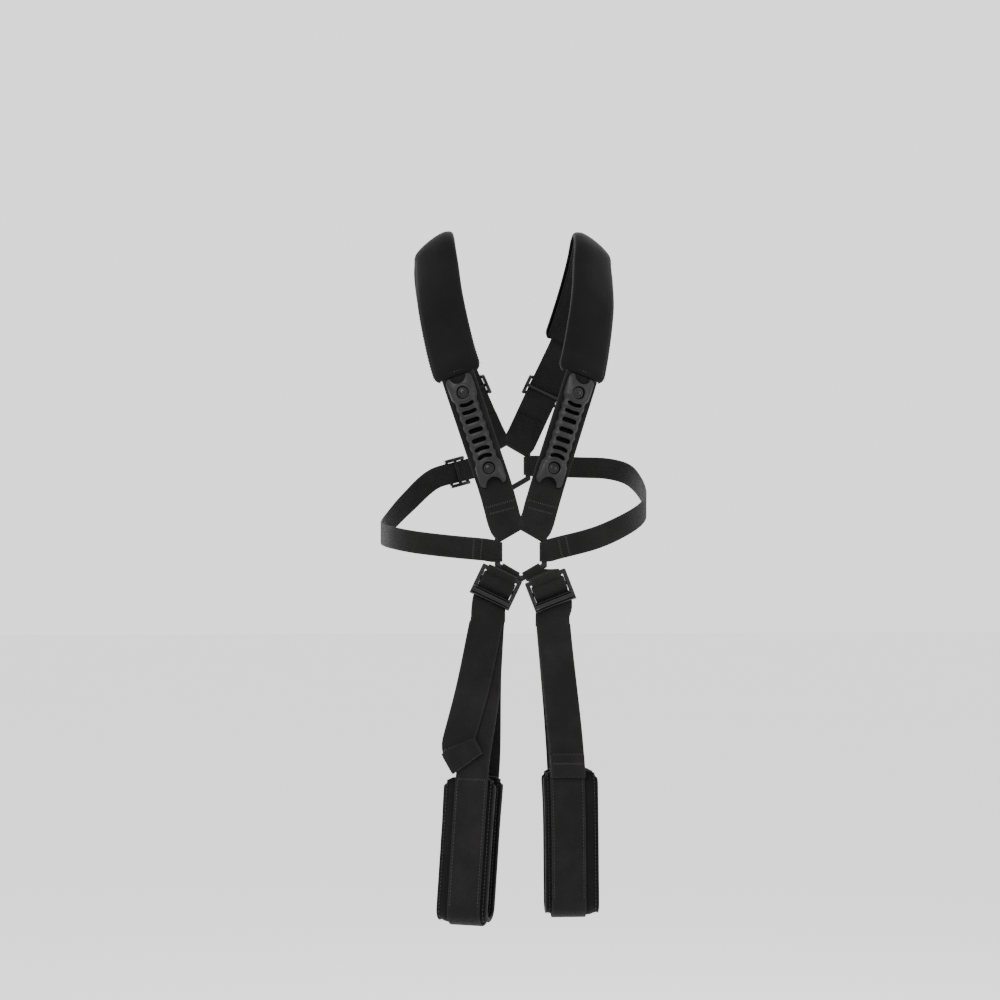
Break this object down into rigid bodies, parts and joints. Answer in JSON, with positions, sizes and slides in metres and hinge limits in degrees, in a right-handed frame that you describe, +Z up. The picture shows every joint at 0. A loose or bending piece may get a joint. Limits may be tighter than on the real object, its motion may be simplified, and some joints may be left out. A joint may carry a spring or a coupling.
{
  "type": "safety harness vest",
  "caption": "Black webbing chest harness with padded shoulder straps, moulded hand grips, hexagonal rings, chest bands and two adjustable slings with padded cuffs.",
  "frame": {"origin": "midway between the two shoulder crests that carry the harness", "axes": "+Z up, -Y the way the wearer faces, +X towards the wearer's left"},
  "size_m": [0.3075, 0.2686, 0.7885],
  "materials": {
    "webbing": "matte woven",
    "pad_fabric": "matte knit",
    "pad_lining": "matte mesh over foam",
    "grip_rubber": "satin moulded",
    "buckle_plastic": "gloss",
    "ring": "semi-gloss black coat",
    "rivet_metal": "black burnished"
  },
  "bodies": {
    "harness": {"front_ring": "ring", "back_ring": "ring", "shoulder_strap_left": "webbing", "pad_cover_left": "pad_fabric", "pad_foam_left": "pad_lining", "grip_left": "grip_rubber", "grip_rivet_lower_left": "rivet_metal", "grip_rivet_upper_left": "rivet_metal", "rivet_washer_lower_left": "rivet_metal", "rivet_washer_upper_left": "rivet_metal", "chest_band_left": "webbing", "shoulder_strap_right": "webbing", "pad_cover_right": "pad_fabric", "pad_foam_right": "pad_lining", "grip_right": "grip_rubber", "grip_rivet_lower_right": "rivet_metal", "grip_rivet_upper_right": "rivet_metal", "rivet_washer_lower_right": "rivet_metal", "rivet_washer_upper_right": "rivet_metal", "chest_band_right": "webbing"},
    "shoulder_slider_left": {"shoulder_slider_left": "buckle_plastic"},
    "band_slider_left": {"band_slider_left": "buckle_plastic"},
    "hanger_left": {"hanger_loop_left": "webbing"},
    "buckle_left": {"ladder_buckle_left": "buckle_plastic", "strap_thread_left": "webbing"},
    "sling_left": {"sling_strap_left": "webbing", "cuff_pad_left": "pad_fabric"},
    "tail_left": {"tail_strap_left": "webbing"},
    "shoulder_slider_right": {"shoulder_slider_right": "buckle_plastic"},
    "band_slider_right": {"band_slider_right": "buckle_plastic"},
    "hanger_right": {"hanger_loop_right": "webbing"},
    "buckle_right": {"ladder_buckle_right": "buckle_plastic", "strap_thread_right": "webbing"},
    "sling_right": {"sling_strap_right": "webbing", "cuff_pad_right": "pad_fabric"},
    "tail_right": {"tail_strap_right": "webbing"}
  },
  "joints": [
    {"name": "shoulder_adjust_left", "type": "slide", "parent": "harness", "child": "shoulder_slider_left", "axis": [-0.4086, 0.215, -0.887], "range_m": [-0.012, 0.012]},
    {"name": "band_adjust_left", "type": "slide", "parent": "harness", "child": "band_slider_left", "axis": [-0.9914, 0.1252, 0.037], "range_m": [-0.006, 0.006]},
    {"name": "hanger_turn_left", "type": "hinge", "parent": "harness", "child": "hanger_left", "pos_m": [0.0131, -0.118, -0.37669], "axis": [-0.866, 0, -0.5], "range_deg": [0, 10]},
    {"name": "buckle_tilt_left", "type": "hinge", "parent": "hanger_left", "child": "buckle_left", "pos_m": [0.027, -0.126, -0.38299], "axis": [-0.9336, 0, -0.3584], "range_deg": [0, 15]},
    {"name": "sling_swing_left", "type": "hinge", "parent": "buckle_left", "child": "sling_left", "pos_m": [0.035, -0.12565, -0.425], "axis": [-0.9781, 0, 0.2079], "range_deg": [0, 70]},
    {"name": "tail_lift_left", "type": "hinge", "parent": "sling_left", "child": "tail_left", "pos_m": [0.035, -0.12565, -0.425], "axis": [-1, 0, 0], "range_deg": [0, 40]},
    {"name": "shoulder_adjust_right", "type": "slide", "parent": "harness", "child": "shoulder_slider_right", "axis": [0.4086, 0.215, -0.887], "range_m": [-0.012, 0.012]},
    {"name": "band_adjust_right", "type": "slide", "parent": "harness", "child": "band_slider_right", "axis": [0.96, 0.126, 0.25], "range_m": [-0.006, 0.006]},
    {"name": "hanger_turn_right", "type": "hinge", "parent": "harness", "child": "hanger_right", "pos_m": [-0.0131, -0.118, -0.37669], "axis": [-0.866, 0, 0.5], "range_deg": [0, 10]},
    {"name": "buckle_tilt_right", "type": "hinge", "parent": "hanger_right", "child": "buckle_right", "pos_m": [-0.022, -0.126, -0.37899], "axis": [-0.9011, 0, 0.4337], "range_deg": [0, 15]},
    {"name": "sling_swing_right", "type": "hinge", "parent": "buckle_right", "child": "sling_right", "pos_m": [-0.037, -0.12565, -0.421], "axis": [-0.9781, 0, -0.2079], "range_deg": [0, 70]},
    {"name": "tail_lift_right", "type": "hinge", "parent": "sling_right", "child": "tail_right", "pos_m": [-0.037, -0.12565, -0.421], "axis": [-1, 0, 0], "range_deg": [0, 40]}
  ]
}
